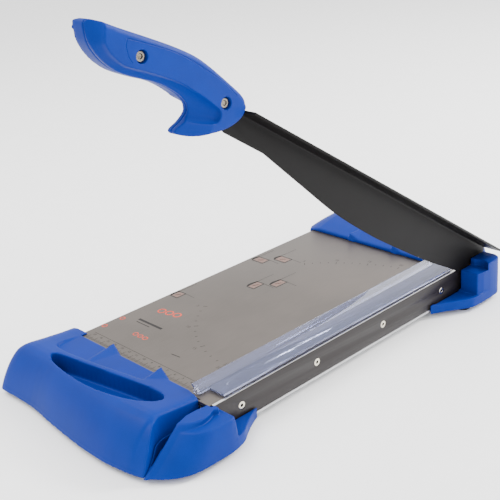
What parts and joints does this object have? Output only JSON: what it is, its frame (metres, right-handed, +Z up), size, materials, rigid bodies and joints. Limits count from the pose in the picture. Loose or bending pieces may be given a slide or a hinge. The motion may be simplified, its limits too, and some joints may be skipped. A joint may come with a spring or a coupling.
{
  "type": "lever paper cutter",
  "caption": "Lever-arm paper cutter with a steel table between moulded end caps, a clear blade guard and a hinged blade arm with a pistol handle.",
  "frame": {"origin": "on the floor under the middle of the base, with the four rubber feet standing on Z = 0", "axes": "+Z up, +Y from the handle end towards the hinge end, +X from the table's free left edge towards the blade"},
  "size_m": [0.2284, 0.4567, 0.3287],
  "materials": {
    "table_steel": "fine brushed, printed scales",
    "frame_alloy": "mill",
    "dark_steel": "satin with a ground top edge",
    "blade_black": "satin black with a ground cutting edge",
    "blue_plastic": "fine spark texture",
    "clear_guard": "clear polycarbonate",
    "foot_rubber": "matt",
    "fasteners": "bright plated",
    "plated_steel": "zinc plated",
    "bush_bronze": "sintered"
  },
  "bodies": {
    "base": {"table_plate": "table_steel", "left_channel": "frame_alloy", "side_beam": "frame_alloy", "cross_brace_front": "frame_alloy", "cross_brace_rear": "frame_alloy", "front_bracket": "frame_alloy", "rear_bracket": "frame_alloy", "lower_blade": "dark_steel", "lower_blade_screws": "fasteners", "front_cap": "blue_plastic", "front_side_block": "blue_plastic", "rear_cap": "blue_plastic", "pivot_housing": "blue_plastic", "cap_screws": "fasteners", "block_screws": "fasteners", "housing_screws": "fasteners", "foot_front_left": "foot_rubber", "foot_front_right": "foot_rubber", "foot_rear_left": "foot_rubber", "foot_rear_right": "foot_rubber", "blade_guard": "clear_guard", "guard_rivets": "fasteners", "pivot_plate": "plated_steel", "pivot_bolt": "plated_steel", "flat_washer": "plated_steel", "spring_washer": "plated_steel", "pivot_nut": "plated_steel"},
    "arm": {"arm_blade": "blade_black", "pivot_bush": "bush_bronze", "handle_left": "blue_plastic", "handle_right": "blue_plastic", "handle_screws": "fasteners", "handle_nuts": "fasteners"}
  },
  "joints": [
    {"name": "arm_pivot", "type": "hinge", "parent": "base", "child": "arm", "pos_m": [0.09085, 0.1766, 0.028], "axis": [-1, 0, 0], "range_deg": [-33.7, 16]}
  ]
}
